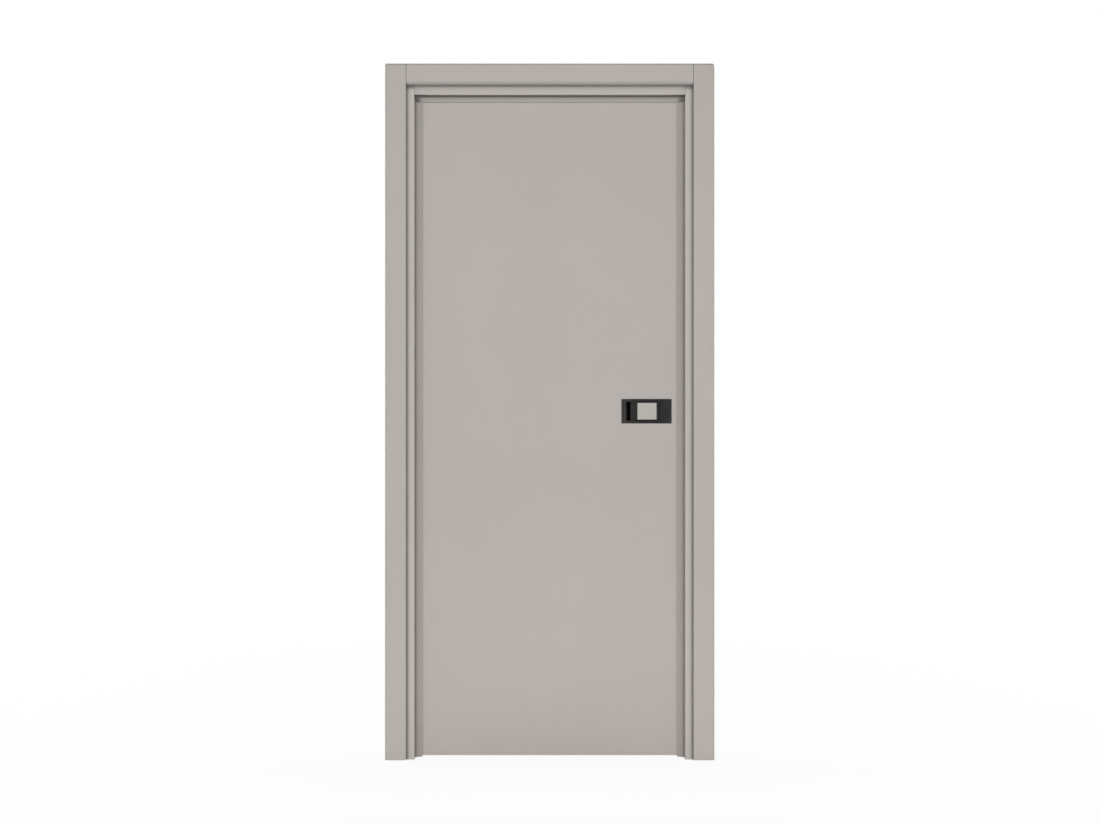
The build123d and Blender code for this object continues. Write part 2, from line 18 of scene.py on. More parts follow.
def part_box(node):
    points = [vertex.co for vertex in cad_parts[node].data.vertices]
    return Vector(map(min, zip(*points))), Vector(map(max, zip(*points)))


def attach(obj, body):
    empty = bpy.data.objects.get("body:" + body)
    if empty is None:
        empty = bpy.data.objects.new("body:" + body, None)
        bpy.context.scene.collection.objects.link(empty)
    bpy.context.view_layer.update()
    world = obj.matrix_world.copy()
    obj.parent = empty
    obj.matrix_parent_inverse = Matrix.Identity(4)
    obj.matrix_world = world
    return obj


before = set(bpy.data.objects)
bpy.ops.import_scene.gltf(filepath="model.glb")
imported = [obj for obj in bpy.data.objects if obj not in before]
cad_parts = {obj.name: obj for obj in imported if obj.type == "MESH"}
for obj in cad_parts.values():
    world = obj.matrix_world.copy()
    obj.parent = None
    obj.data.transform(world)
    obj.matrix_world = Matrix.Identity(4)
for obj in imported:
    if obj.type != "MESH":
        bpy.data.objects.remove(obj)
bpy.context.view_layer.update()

# %% [markdown]
# ## Where things are
#
# Places could be typed in as numbers, but then every change of the door would have to be typed in too. So
# this scene asks the CAD model, and a screw or a lamp moves along when the door changes. The middle of the
# opening and the faces of the boards are used again and again below, so they get names here.

# %% Places taken from the CAD model
def corners(node):
    """The lowest and the highest corner of a node, as vectors."""
    low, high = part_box(node)
    return Vector(low), Vector(high)


def middle(node):
    low, high = corners(node)
    return (low + high) / 2


hinge_jamb_low, hinge_jamb_high = corners("hinge_jamb")
strike_jamb_face_x = corners("strike_jamb")[0].x
front_casing_face = corners("front_head_casing")[0].y
opening_middle_x = (hinge_jamb_high.x + strike_jamb_face_x) / 2
door_top = corners("front_strike_side_casing")[1].z
print("middle of the opening:", round(opening_middle_x, 4), "casing face:", round(front_casing_face, 4))

# %% [markdown]
# ## Colours as they are written
#
# Blender's shaders want linear values, while a colour picker shows sRGB ones from 0 to 255. This small
# helper turns the second into the first, so that the finishes below can be written in the numbers that a
# paint chart or a picker would show. The four constants are those of the sRGB curve, which is a straight
# toe followed by a power.

# %% Colour helper
TOE_END = 0.04045
TOE_SLOPE = 12.92
CURVE_LIFT = 0.055
CURVE_POWER = 2.4


def linear(red, green, blue):
    """The numbers of a colour picker as a linear colour with full opacity."""
    channels = []
    for value in (red / 255, green / 255, blue / 255):
        if value <= TOE_END:
            channels.append(value / TOE_SLOPE)
        else:
            channels.append(((value + CURVE_LIFT) / (1 + CURVE_LIFT)) ** CURVE_POWER)
    return (*channels, 1.0)


print("a warm grey of 180, 174, 169 in linear light:", [round(c, 3) for c in linear(180, 174, 169)[:3]])

# %% [markdown]
# ## Building a material by hand
#
# A node material is a small graph. `add` adds a node to it, `wire` joins two sockets, and `plug` gives a
# socket whatever there is: a number, a colour or the output of another node. `start_material` makes a
# material with its Principled shader. The owner of a graph is a material here, and the world further down.

# %% Starting a graph
def add(owner, kind, **settings):
    node = owner.node_tree.nodes.new(kind)
    for key, value in settings.items():
        setattr(node, key, value)
    return node


def wire(owner, source, target):
    owner.node_tree.links.new(source, target)


def plug(owner, value, socket):
    """Give a socket a number, a colour or the output of another node."""
    if isinstance(value, bpy.types.NodeSocket):
        wire(owner, value, socket)
    else:
        socket.default_value = value


def empty_graph(owner):
    owner.use_nodes = True
    owner.node_tree.nodes.clear()


def start_material(name):
    """A new material and its Principled shader, which is already wired to the output."""
    material = bpy.data.materials.new(name)
    empty_graph(material)
    out = add(material, "ShaderNodeOutputMaterial")
    shader = add(material, "ShaderNodeBsdfPrincipled")
    wire(material, shader.outputs["BSDF"], out.inputs["Surface"])
    return material, shader


print("building node graphs in Blender", bpy.app.version_string)

# %% [markdown]
# ## Noise, the source of all unevenness
#
# No real surface is even, and a noise is the cheapest way to say so. It reads object coordinates, which are
# metres in the model's own frame, so a grain of half a millimetre is half a millimetre on every piece,
# whatever its size. What a noise gives is a value around 0.5, and `spread` turns it into what a finish
# needs, such as a roughness between two limits.

# %% Noise and range
def noise(owner, scale, detail=2.0, roughness=0.5, stretch=(1, 1, 1), shift=(0, 0, 0)):
    """A cloudy value around 0.5, stretched along an axis where its stretch there is less than 1."""
    place = add(owner, "ShaderNodeTexCoord")
    mapping = add(owner, "ShaderNodeMapping")
    mapping.inputs["Scale"].default_value = stretch
    mapping.inputs["Location"].default_value = shift
    texture = add(owner, "ShaderNodeTexNoise")
    texture.inputs["Scale"].default_value = scale
    texture.inputs["Detail"].default_value = detail
    texture.inputs["Roughness"].default_value = roughness
    wire(owner, place.outputs["Object"], mapping.inputs["Vector"])
    wire(owner, mapping.outputs["Vector"], texture.inputs["Vector"])
    return texture.outputs["Fac"]


def spread(owner, value, low, high, start=0.3, end=0.7):
    """Turn a value that runs from start to end into one that runs from low to high."""
    span = add(owner, "ShaderNodeMapRange")
    span.inputs["From Min"].default_value = start
    span.inputs["From Max"].default_value = end
    span.inputs["To Min"].default_value = low
    span.inputs["To Max"].default_value = high
    wire(owner, value, span.inputs["Value"])
    return span.outputs["Result"]


def feature_size(scale):
    """About how many millimetres the features of a noise of that scale measure."""
    return round(1000 / scale, 2)


print("a noise of scale 100 has features of about", feature_size(100), "mm")

# %% [markdown]
# ## Colours, sums and relief
#
# The rest of a finish is made of four steps: two colours blended, one axis taken from a coordinate, a sum,
# and bump. The Mix node has sockets for numbers, vectors and colours side by side under the same names, so
# the colour ones are found by number, and the numbers get names.

# %% Blends, sums and relief
MIX_FACTOR = 0
MIX_FIRST = 6
MIX_SECOND = 7
MIX_RESULT = 2


def blend(owner, first, second, factor, **settings):
    """Mix two colours, each either four numbers or the output of a node."""
    mixing = add(owner, "ShaderNodeMix", data_type="RGBA", **settings)
    plug(owner, first, mixing.inputs[MIX_FIRST])
    plug(owner, second, mixing.inputs[MIX_SECOND])
    plug(owner, factor, mixing.inputs[MIX_FACTOR])
    return mixing.outputs[MIX_RESULT]


def part_of(owner, output, axis):
    """One axis of a texture coordinate, such as the Z part of the normal."""
    place = add(owner, "ShaderNodeTexCoord")
    split = add(owner, "ShaderNodeSeparateXYZ")
    wire(owner, place.outputs[output], split.inputs[0])
    return split.outputs[axis]


def calculate(owner, operation, *values):
    """A Math node on one or two values, each either a number or the output of a node."""
    sums = add(owner, "ShaderNodeMath", operation=operation)
    for value, socket in zip(values, sums.inputs):
        plug(owner, value, socket)
    return sums.outputs[0]


def relief(owner, height, shader, depth, strength=1.0):
    """Bump of that depth in metres on the shader's normal."""
    bump = add(owner, "ShaderNodeBump")
    bump.inputs["Strength"].default_value = strength
    bump.inputs["Distance"].default_value = depth
    wire(owner, height, bump.inputs["Height"])
    wire(owner, bump.outputs["Normal"], shader.inputs["Normal"])
    return bump


print("colour sockets of the Mix node: numbers", MIX_FIRST, "and", MIX_SECOND)

# %% [markdown]
# ## Rubbed edges
#
# The film on a door wears first along its edges, where hands and shoes pass. Wear could be painted onto
# each edge by hand, but the Bevel node finds the edges by itself: it gives the normal that a slightly
# rounded edge would have. Where that differs from the true normal there is an edge, so the difference is a
# mask for wear. It is broken up with noise, because wear is never even.

# %% Edge mask
WEAR_PATCHES = 9.0


def edge_mask(owner, radius, patchiness=WEAR_PATCHES, sharpness=0.08):
    """1 on the worn parts of each edge and 0 on the faces. radius is how far in from the edge it reaches."""
    round_over = add(owner, "ShaderNodeBevel", samples=4)
    round_over.inputs["Radius"].default_value = radius
    plain = add(owner, "ShaderNodeNewGeometry")
    compare = add(owner, "ShaderNodeVectorMath", operation="DOT_PRODUCT")
    wire(owner, round_over.outputs["Normal"], compare.inputs[0])
    wire(owner, plain.outputs["Normal"], compare.inputs[1])
    edge = spread(owner, compare.outputs["Value"], 1.0, 0.0, start=1.0 - sharpness, end=1.0)
    cloud = noise(owner, patchiness, detail=4.0, roughness=0.6)
    patches = spread(owner, cloud, 0.0, 1.0, start=0.45, end=0.62)
    return calculate(owner, "MULTIPLY", edge, patches)


print("wear on the film comes in patches of about", round(100 / WEAR_PATCHES), "cm")

# %% [markdown]
# ## Painted shade in the corners
#
# Where one board stands on another, the inner corner is painted a little darker than the open face, as
# painted shade. The Ambient Occlusion node measures how closed in a point is within a short reach, so it
# gives a mask for that. It is kept to a few centimetres at most.
#
# Faces that turn away from the front get painted shade too. The Y part of the normal measures how far a
# face turns from the show face, and the Z part of it how far the soft nose under the head casing looks down.
# The jambs, last, get a painted line of shade close under the head casing, and there the height alone is
# the mask.

# %% Shade in the corners
CORNER_SAMPLES = 16


def corner_shade(owner, reach, deepest, closed=0.74, opened=0.93):
    """1 on open faces, falling to deepest where another face stands within reach."""
    closeness = add(owner, "ShaderNodeAmbientOcclusion", samples=CORNER_SAMPLES)
    closeness.inputs["Distance"].default_value = reach
    return spread(owner, closeness.outputs["AO"], deepest, 1.0, start=closed, end=opened)


def nose_shade(owner, deepest):
    """1 on upright faces, falling to deepest where the board turns to look straight down."""
    return spread(owner, part_of(owner, "Normal", "Z"), deepest, 1.0, start=-1.0, end=0.0)


def turned_shade(owner, deepest):
    """1 on the show faces, falling to deepest where the board turns away from them."""
    squareness = calculate(owner, "ABSOLUTE", part_of(owner, "Normal", "Y"))
    return spread(owner, squareness, deepest, 1.0, start=0.0, end=1.0)


def ceiling_shade(owner, height, reach, deepest):
    """1 below, falling to deepest over the first half of the reach under a board at that height."""
    upward = part_of(owner, "Object", "Z")
    return spread(owner, upward, 1.0, deepest, start=height - reach, end=height - reach / 2)


print("corner shade looks round each point with", CORNER_SAMPLES, "rays")

# %% [markdown]
# ## Bare backs
#
# The film is wrapped round the faces that show. The wall side of the jambs, their sawn top ends and the
# back of the casings stay bare fibreboard, pale brown with short fibres in it. These faces could get a
# material slot of their own, but a CAD mesh isn't changed, so a mask picks them out. Which faces they are
# follows from their place: the jambs' backs lie farthest from the middle of the opening, their ends highest,
# and the casings' backs nearest to the middle of the wall. So a test on a distance makes each mask.

# %% Bare fibreboard
BACK_MARGIN = 0.0003
FIBRE_SCALE = 380.0


def bare_back(owner, tests):
    """1 where one of the tests holds: farther along its axis from centre than distance for GREATER_THAN,
    or nearer for LESS_THAN."""
    bare = 0.0
    for axis, centre, distance, side in tests:
        away = calculate(owner, "SUBTRACT", part_of(owner, "Object", axis), centre)
        here = calculate(owner, side, calculate(owner, "ABSOLUTE", away), distance)
        bare = calculate(owner, "MAXIMUM", bare, here)
    return bare


def fibreboard(owner):
    fibres = noise(owner, FIBRE_SCALE, detail=5.0, roughness=0.7)
    return blend(owner, linear(198, 178, 150), linear(174, 152, 122), spread(owner, fibres, 0.0, 1.0))


wall_face = ("X", opening_middle_x, opening_middle_x - hinge_jamb_low.x - BACK_MARGIN, "GREATER_THAN")
frame_top = ("Z", 0.0, hinge_jamb_high.z - BACK_MARGIN, "GREATER_THAN")
casing_back = ("Y", 0.0, hinge_jamb_high.y + BACK_MARGIN, "LESS_THAN")
print("casings are bare nearer than", round(casing_back[2], 4), "m to the middle of the wall")

# %% [markdown]
# ## The greige film on the wood
#
# Leaf, jambs, stops and casings are wood-based boards wrapped in a matte film of one warm grey. Close up
# the film has a fine stipple from its embossing roller and a hint of long grain, and its sheen varies a
# little from board to board. A flat colour would look like plastic, so the colour drifts by about one part
# in a hundred, the roughness by a few parts, and two layers of bump carry the grain and the stipple. A
# painted shade is a function of the material, and each one multiplies the colour.

# %% The film
GRAIN_SCALE = 260.0
GRAIN_STRETCH = 0.06
GRAIN_DEPTH = 0.00012
GRAIN_SHOWS = 0.035
STIPPLE_SCALE = 1500.0
STIPPLE_DEPTH = 0.00005
CLOUD_SCALE = 3.0
FILM_EDGE = 0.0012
DRIFT = 0.985
WORN = 1.10
SHEEN_SWING = 0.05


def scaled(colour, by):
    return (*[min(1.0, channel * by) for channel in colour[:3]], 1.0)


def board_film(name, colour, along, seed, rough=0.5, shades=(), backs=()):
    """A matte embossed film. along is the axis that the faint grain follows, and backs says where the
    board is bare."""
    material, shader = start_material(name)
    stretch = [1.0, 1.0, 1.0]
    stretch["XYZ".index(along)] = GRAIN_STRETCH
    grain_shift = (seed, seed * 0.7, seed * 1.3)
    grain = noise(material, GRAIN_SCALE, detail=3.0, roughness=0.55, stretch=stretch, shift=grain_shift)
    stipple = noise(material, STIPPLE_SCALE, roughness=0.6)
    cloud = noise(material, CLOUD_SCALE, shift=(seed, 0, seed))
    drifting = spread(material, cloud, 0.0, 1.0, start=0.35, end=0.65)
    shown = blend(material, colour, scaled(colour, DRIFT), drifting)
    shown = blend(material, shown, grain, GRAIN_SHOWS, blend_type="MULTIPLY")
    shown = blend(material, shown, scaled(colour, WORN), edge_mask(material, FILM_EDGE))
    for shade in shades:
        shown = blend(material, shown, shade(material), 1.0, blend_type="MULTIPLY")
    sheen = spread(material, cloud, rough - SHEEN_SWING, rough + SHEEN_SWING)
    if backs:
        bare = bare_back(material, backs)
        shown = blend(material, shown, fibreboard(material), bare)
        sheen = calculate(material, "MAXIMUM", sheen, bare)
    wire(material, shown, shader.inputs["Base Color"])
    wire(material, sheen, shader.inputs["Roughness"])
    coarse = relief(material, grain, shader, GRAIN_DEPTH, strength=0.35)
    fine = relief(material, stipple, shader, STIPPLE_DEPTH, strength=0.5)
    wire(material, coarse.outputs["Normal"], fine.inputs["Normal"])
    shader.inputs["Specular IOR Level"].default_value = 0.1
    return material


print("stipple of", feature_size(STIPPLE_SCALE), "mm, grain of", feature_size(GRAIN_SCALE), "mm")

# %% [markdown]
# ## One film on seven kinds of board
#
# All boards have the same film. It is a level lighter or darker from one length of board to the next, but
# the stops are set darker as painted shade for the recess they sit in, and the jambs and the head jamb
# lighter as painted light. Each kind of board has its own neighbours, so every kind gets its own painted
# shades: the casings where they turn, the head casing also on its nose, jambs and stops in the corners that
# they make. `partial` writes down a shade with its reach and its depth, to be made later, when the material
# is there.

# %% Films for the boards
# The stops' colour is set darker than the rest of the film as painted shade for the recess they sit in.
GREIGE_STOP_SHADED = linear(166, 160, 155)
head_casing_bottom = corners("front_head_casing")[0].z
# Painted shade where the casings turn away from the front, and a painted line of shade under the head
# casing.
turned = partial(turned_shade, deepest=0.7)
shade_under_head = partial(ceiling_shade, height=head_casing_bottom, reach=0.0155, deepest=0.5)
leaf_film = board_film("leaf_film", linear(180, 174, 170), "Z", seed=0.0)
casing_film = board_film(
    "casing_film", linear(179, 173, 168), "Z", seed=2.3,
    shades=[partial(corner_shade, reach=0.004, deepest=0.5), turned],
    backs=[casing_back],
)
head_casing_film = board_film(
    "head_casing_film", linear(181, 175, 170), "X", seed=4.1,
    shades=[partial(corner_shade, reach=0.012, deepest=0.5), turned, partial(nose_shade, deepest=0.5)],
    backs=[casing_back],
)
# The jambs and the head jamb are set lighter than the other boards, as painted light.
jamb_film = board_film(
    "jamb_film", linear(186, 180, 174), "Z", seed=3.2,
    shades=[partial(corner_shade, reach=0.024, deepest=0.45), shade_under_head],
    backs=[wall_face, frame_top],
)
head_jamb_film = board_film(
    "head_jamb_film", linear(190, 184, 179), "X", seed=5.5,
    shades=[partial(corner_shade, reach=0.05, deepest=0.33, closed=0.87, opened=0.98)],
    backs=[frame_top],
)
stop_film = board_film(
    "stop_film", GREIGE_STOP_SHADED, "Z", seed=6.2, rough=0.56,
    shades=[partial(corner_shade, reach=0.02, deepest=0.68)],
)
head_stop_film = board_film(
    "head_stop_film", GREIGE_STOP_SHADED, "X", seed=7.7, rough=0.56,
    shades=[partial(corner_shade, reach=0.02, deepest=0.5)],
)
print("films made:", [m.name for m in bpy.data.materials if "film" in m.name])

# %% [markdown]
# ## Putting a finish on CAD nodes
#
# A CAD node keeps its mesh, because the motion is worked out with the same solid. Only the material in its
# slots is swapped, which is what `dress` does. Boards that run upright get the film with its grain along Z,
# and the boards over the head along X, because the film is laid along each board before it is cut.

# %% Dress the boards
def dress(material, *names):
    for name in names:
        node = bpy.data.objects[name]
        if not node.material_slots:
            node.data.materials.append(material)
        for slot in node.material_slots:
            slot.material = material


SIDE_CASINGS = [f"{face}_{side}_side_casing" for face in ("front", "back") for side in ("hinge", "strike")]
dress(casing_film, *SIDE_CASINGS)
dress(head_casing_film, "front_head_casing", "back_head_casing")
dress(jamb_film, "hinge_jamb", "strike_jamb")
dress(head_jamb_film, "head_jamb")
dress(stop_film, "hinge_stop", "strike_stop")
dress(head_stop_film, "head_stop")
dress(leaf_film, "front_skin", "back_skin", "hinge_stile", "lock_stile", "top_rail", "bottom_rail")
print("casings dressed:", len(SIDE_CASINGS) + 2)

# %% [markdown]
# ## Hidden filling and block
#
# The middle of the leaf is a light filling of brown board, and behind the handle sits a solid block of
# softwood. Neither shows with the door whole, but both get a plain true finish, so that a cut-away or an
# exploded view looks right. Fibres and year rings are both a noise drawn out along the upright.

# %% Filling and block
def plain_finish(name, light, dark, pattern, start=0.3, end=0.7):
    """A finish of two colours in a noise pattern. It comes back with its shader and its noise."""
    material, shader = start_material(name)
    marks = noise(material, **pattern)
    colour = blend(material, light, dark, spread(material, marks, 0.0, 1.0, start, end))
    wire(material, colour, shader.inputs["Base Color"])
    return material, shader, marks


fibre_pattern = {"scale": 420.0, "detail": 5.0, "roughness": 0.7, "stretch": (1, 1, 0.2)}
filling, filling_shader, fibres = plain_finish(
    "brown_filling_board", linear(176, 146, 108), linear(142, 112, 78), fibre_pattern
)
relief(filling, fibres, filling_shader, depth=0.0004, strength=0.6)
filling_shader.inputs["Roughness"].default_value = 0.85
dress(filling, "leaf_core")

ring_pattern = {"scale": 46.0, "detail": 3.0, "roughness": 0.6, "stretch": (1, 1, 0.05)}
softwood, softwood_shader, rings = plain_finish(
    "bare_softwood", linear(205, 178, 136), linear(172, 132, 88), ring_pattern, start=0.42, end=0.6
)
relief(softwood, rings, softwood_shader, depth=0.0003, strength=0.5)
softwood_shader.inputs["Roughness"].default_value = 0.6
dress(softwood, "lock_block")
print("year rings about", feature_size(ring_pattern["scale"]), "mm wide")

# %% [markdown]
# ## The soft seals
#
# The seals are thin strips of soft grey-brown rubber in a kerf behind each stop, and the leaf closes against
# them. A flat grey would look like paint. Rubber is matt, slightly uneven and collects a little dust, so the
# two colours and the noise of the filling serve here too at a finer scale, the roughness is high, and a weak
# sheen stands for the dust.

# %% Seal rubber
dust_pattern = {"scale": 700.0, "detail": 3.0, "roughness": 0.6}
rubber, rubber_shader, dust = plain_finish(
    "seal_rubber", linear(126, 118, 110), linear(108, 100, 94), dust_pattern
)
wire(rubber, spread(rubber, dust, low=0.72, high=0.88), rubber_shader.inputs["Roughness"])
relief(rubber, dust, rubber_shader, depth=0.00008, strength=0.5)
rubber_shader.inputs["Sheen Weight"].default_value = 0.15
seals = ("hinge_side_seal", "strike_side_seal", "head_seal")
dress(rubber, *seals)
print("seals dressed:", len(seals))

# %% [markdown]
# ## Satin black metal
# Plate, paddle, hinges, forend and strike plate are zinc alloy and steel with a satin black coat. The coat
# is nearly black but never fully so, and it gets its look from a soft highlight that varies with the
# powder's texture. On the arrises of the touched pieces the coat is polished by fingers, so the edge mask
# makes them a little lighter. The plate is painted lighter towards both ends, as painted light: strongly
# beside the slot, and a little at the other end. A strip along X stands for each. The cup behind the paddle
# is painted a dead matt near black, as painted shade for its dark inside, so there the same material
# changes colour.

# %% Black coat
# Near black painted into the cup behind the paddle, as painted shade.
CUP_SHADE_BLACK = (0.0006, 0.0006, 0.0006, 1.0)
COAT_EDGE = 0.0008
POWDER_SCALE = 2200.0
POWDER_DEPTH = 0.00003
HANDS_SCALE = 34.0


def depth_mask(owner, low, high):
    """1 where the place along Y lies between low and high, inside the leaf, and 0 on its faces."""
    depth = part_of(owner, "Object", "Y")
    after = calculate(owner, "GREATER_THAN", depth, low)
    before = calculate(owner, "LESS_THAN", depth, high)
    return calculate(owner, "MULTIPLY", after, before)


def black_coat(name, colour, rough, edge_light, seed, painted_light_strips=(), shaded_cup=None):
    """A satin coat. Each strip of painted light has a colour, the place along X where it is full and the
    place where it has gone. Two places along Y may be given for the cup, where the coat is near black as
    painted shade."""
    material, shader = start_material(name)
    powder = noise(material, POWDER_SCALE, shift=(seed, 0, 0))
    hands = noise(material, HANDS_SCALE, detail=4.0, roughness=0.6, shift=(0, seed, 0))
    edges = edge_mask(material, COAT_EDGE, patchiness=60.0, sharpness=0.12)
    coat = blend(material, colour, edge_light, edges)
    # Strips of painted light that make the plate lighter towards its ends.
    for strip_colour, full_at, gone_at in painted_light_strips:
        across = part_of(material, "Object", "X")
        strip = spread(material, across, 0.0, 1.0, start=gone_at, end=full_at)
        coat = blend(material, coat, strip_colour, strip)
    sheen = spread(material, hands, rough - 0.07, rough + 0.08)
    # Between two places along Y the cup is painted near black, as painted shade.
    if shaded_cup:
        inside = depth_mask(material, *shaded_cup)
        coat = blend(material, coat, CUP_SHADE_BLACK, inside)
        sheen = calculate(material, "MAXIMUM", sheen, inside)
    wire(material, coat, shader.inputs["Base Color"])
    wire(material, sheen, shader.inputs["Roughness"])
    relief(material, powder, shader, POWDER_DEPTH, strength=0.6)
    shader.inputs["Specular IOR Level"].default_value = 0.12
    return material


print("powder of", feature_size(POWDER_SCALE), "mm, hand marks of", feature_size(HANDS_SCALE), "mm")

# %% [markdown]
# ## The handles
#
# Plate and paddle have the same coat, but the plate is the piece with the lighter ends of painted light, so
# the two differ a little. These ends could come from a painted image, but each is only a fade along X, so
# two distances from the end of the plate are enough: where the strip is full, and where it has gone. The
# painted shade of the cup starts just below the face of the leaf, on both sides of it.

# %% Dress the handles
CUP_SHADE_START = 0.0012
SLOT_LIGHT_STRIP = (0.010, 0.060)
HAND_LIGHT_STRIP = (0.006, 0.026)
leaf_front_y = corners("front_skin")[0].y
leaf_back_y = corners("back_skin")[1].y
shaded_cup = (leaf_front_y + CUP_SHADE_START, leaf_back_y - CUP_SHADE_START)
plate_low, plate_high = corners("front_handle_plate")
# The plate is painted lighter at both ends, as painted light.
slot_end_painted_light = (linear(43, 38, 35), *[plate_low.x + inward for inward in SLOT_LIGHT_STRIP])
hand_end_painted_light = (linear(27, 25, 25), *[plate_high.x - inward for inward in HAND_LIGHT_STRIP])
plate_black = black_coat(
    "plate_black", linear(10, 10, 10), rough=0.42, edge_light=linear(56, 53, 50), seed=1.0,
    painted_light_strips=[slot_end_painted_light, hand_end_painted_light], shaded_cup=shaded_cup,
)
paddle_black = black_coat(
    "paddle_black", linear(13, 13, 13), rough=0.4, edge_light=linear(44, 43, 42), seed=3.0, shaded_cup=shaded_cup
)
dress(plate_black, "front_handle_plate", "back_handle_plate")
dress(paddle_black, "front_paddle", "back_paddle")
# The cup between these places is painted near black, as painted shade.
print("the flock lies between", [round(y, 4) for y in shaded_cup], "m through the wall")

# %% [markdown]
# ## Hinges, forend and strike plate
#
# Hands rarely reach these, so the coat keeps its first look, which is a shade paler than on the handle, and
# only its arrises are rubbed a little.

# %% Dress hinges and lock
PLACES = ("top", "middle", "bottom")
HINGE_PARTS = ("frame_plate", "door_plate", "pin")
hinge_black = black_coat(
    "hinge_black", linear(30, 30, 30), rough=0.38, edge_light=linear(84, 82, 80), seed=5.0
)
lock_black = black_coat(
    "lock_black", linear(34, 34, 34), rough=0.4, edge_light=linear(88, 86, 84), seed=7.0
)
dress(hinge_black, *[f"{place}_hinge_{part}" for place in PLACES for part in HINGE_PARTS])
dress(lock_black, "lock_forend", "strike_plate")
print("hinge pieces dressed:", len(PLACES) * len(HINGE_PARTS))

# %% [markdown]
# ## The tile in the paddle
#
# The light square in the handle is a thin tile in the colour of the door, let into the paddle with a fine
# dark line around it. It could share the film of the leaf, but it is touched more than anything else on the
# door, so it gets a film of its own that is a little smoother.

# %% Tile
tile_film = board_film("tile_film", linear(178, 175, 168), "Z", seed=9.4, rough=0.42)
dress(tile_film, "front_paddle_tile", "back_paddle_tile")
tile_low, tile_high = corners("front_paddle_tile")
print("tile:", [round((h - l) * 1000, 1) for l, h in zip(tile_low, tile_high)], "mm")

# %% [markdown]
# ## Small steel and plastic
#
# The pins of the paddles are blued steel, and the magnetic latch is black nylon. The steel has fine turning
# marks round its axis. An anisotropic shader could show them, but a noise that is squeezed along the pin and
# drawn out round it also survives an export, so it is used for roughness and bump. The nylon has a coarse
# moulded skin.

# %% Pins and latch
steel, steel_shader = start_material("turned_steel")
marks = noise(steel, 900.0, stretch=(0.05, 0.05, 3.0))
steel_shader.inputs["Base Color"].default_value = linear(74, 73, 74)
steel_shader.inputs["Metallic"].default_value = 1.0
wire(steel, spread(steel, marks, low=0.24, high=0.4), steel_shader.inputs["Roughness"])
relief(steel, marks, steel_shader, depth=0.00002, strength=0.5)
dress(steel, "front_paddle_pin", "back_paddle_pin")

nylon, nylon_shader = start_material("latch_nylon")
skin_grain = noise(nylon, 1600.0)
nylon_colour = blend(nylon, linear(30, 30, 31), linear(40, 40, 41), skin_grain)
wire(nylon, nylon_colour, nylon_shader.inputs["Base Color"])
wire(nylon, spread(nylon, skin_grain, low=0.5, high=0.62), nylon_shader.inputs["Roughness"])
relief(nylon, skin_grain, nylon_shader, depth=0.00005, strength=0.7)
nylon_shader.inputs["Specular IOR Level"].default_value = 0.2
dress(nylon, "magnetic_latch")
print("pins and latch:", steel.name, nylon.name)

# %% [markdown]
# ## Raised countersunk screws
#
# Each hinge plate is held by three screws, and the forend and the strike plate by two each. What shows of
# such a screw is a low dome with a cross recess. A Boolean could cut the cross out of a dome, but it leaves
# long thin faces round the cut. Here the dome is turned, as rings of points round an axis, and the points
# that lie on one of the two arms of the cross are pressed in. All sizes are shares of the radius: the rim
# rises steeply in three rings, and the dome closes over it.

# %% Rings of a screw head
RIM_SHARES = [1.0, 0.985, 0.93]
RIM_HEIGHTS = [-0.02, 0.05, 0.085]
DOME_SHARES = [0.82, 0.7, 0.6, 0.52, 0.44, 0.36, 0.28, 0.2, 0.12]
DOME_RISE = 0.06
DOME_HEIGHTS = [RIM_HEIGHTS[-1] + DOME_RISE * (1 - (share / RIM_SHARES[-1]) ** 2) for share in DOME_SHARES]
POINTS_AROUND = 72
CROSS_HALF_WIDTH = 0.09
CROSS_REACH = 0.65
CROSS_FLOOR = 0.015


def head_ring(shape, place, radius, share, height, turn):
    """One ring of points, where those on the cross lie on its floor. turn is the angle of the cross."""
    ring = []
    for n in range(POINTS_AROUND):
        angle = 2 * math.pi * n / POINTS_AROUND
        local = Vector((math.cos(angle), math.sin(angle), 0)) * share * radius
        off_arm = min(abs(math.sin(angle - turn)), abs(math.cos(angle - turn))) * share
        pressed = off_arm < CROSS_HALF_WIDTH and share < CROSS_REACH
        local.z = (CROSS_FLOOR if pressed else height) * radius
        ring.append(shape.verts.new(place @ local))
    return ring


print("dome height in shares of the radius:", round(DOME_HEIGHTS[-1], 3))

# %% [markdown]
# ## From rings to heads
#
# Two rings are joined by a belt of faces, and the last ring is closed by one face. The faces on the floor of
# the cross are told from the others by their depth and get the second material slot, for painted shade.

# %% Screw maker
FLOOR_TOLERANCE = 0.00001


def screw_heads(name, spots, out, radius, turns):
    """Heads at spots, each facing along out, with the cross of each turned by its own angle."""
    shape = bmesh.new()
    facing = out.normalized().to_track_quat("Z", "Y").to_matrix().to_4x4()
    for spot, turn in zip(spots, turns):
        place = Matrix.Translation(spot) @ facing
        previous = None
        for share, height in zip(RIM_SHARES + DOME_SHARES, RIM_HEIGHTS + DOME_HEIGHTS):
            ring = head_ring(shape, place, radius, share, height, turn)
            if previous:
                for n in range(POINTS_AROUND):
                    after = (n + 1) % POINTS_AROUND
                    shape.faces.new((previous[n], previous[after], ring[after], ring[n]))
            previous = ring
        shape.faces.new(previous)
    to_head = facing.to_3x3().inverted()
    for face in shape.faces:
        depth = min((to_head @ (vert.co - spots[0])).z for vert in face.verts)
        on_floor = abs(depth - CROSS_FLOOR * radius) < FLOOR_TOLERANCE
        face.material_index = 1 if on_floor else 0
    mesh = bpy.data.meshes.new(name)
    shape.to_mesh(mesh)
    shape.free()
    piece = bpy.data.objects.new(name, mesh)
    bpy.context.scene.collection.objects.link(piece)
    return piece


print("faces on each head:", POINTS_AROUND * (len(RIM_SHARES + DOME_SHARES) - 1) + 1)

